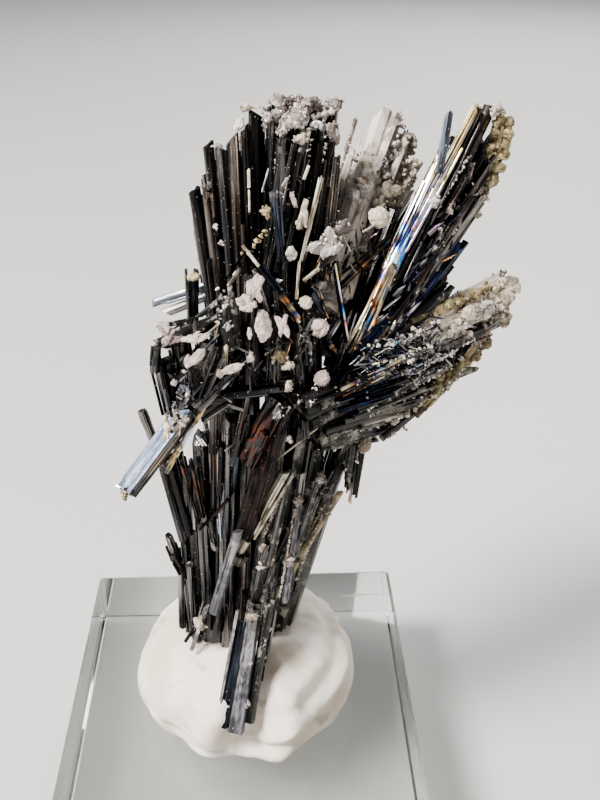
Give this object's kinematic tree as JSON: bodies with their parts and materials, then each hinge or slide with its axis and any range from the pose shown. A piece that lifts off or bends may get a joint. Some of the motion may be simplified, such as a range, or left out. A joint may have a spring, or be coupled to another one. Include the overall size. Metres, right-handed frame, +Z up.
{
  "type": "stibnite crystal spray on a clear block",
  "caption": "Branching spray of dark metallic prisms with quartz crust, set in putty on a clear square block.",
  "frame": {"origin": "middle of the block's underside, on the surface that the block rests on", "axes": "+Z up through the spray, +X along the block's front edge towards the leaning branches, +Y towards the block's back"},
  "size_m": [0.0317, 0.0254, 0.0539],
  "materials": {
    "clear_acrylic": "polished clear acrylic",
    "white_putty": "matte, pressed by fingers",
    "stibnite": "dark metallic, striated lengthwise",
    "tarnished_stibnite": "metallic with blue, violet and gold tarnish",
    "bright_stibnite": "bright silvery cleavage face",
    "quartz_crust": "sparkling grey to beige druse",
    "cream_crystal": "cream coated prism"
  },
  "bodies": {
    "root": {"acrylic_block": "clear_acrylic", "mounting_putty": "white_putty", "stem_bundle": "stibnite", "upright_bundle": "stibnite", "middle_cluster": "stibnite", "iridescent_bundle": "tarnished_stibnite", "lower_right_branch": "tarnished_stibnite", "quartz_coated_bundle": "quartz_crust", "silver_prism": "bright_stibnite", "dark_rod": "stibnite", "cream_prism": "cream_crystal", "blue_needle": "tarnished_stibnite", "cream_needle": "cream_crystal", "bent_needle": "stibnite", "purple_needle": "tarnished_stibnite"}
  },
  "joints": []
}
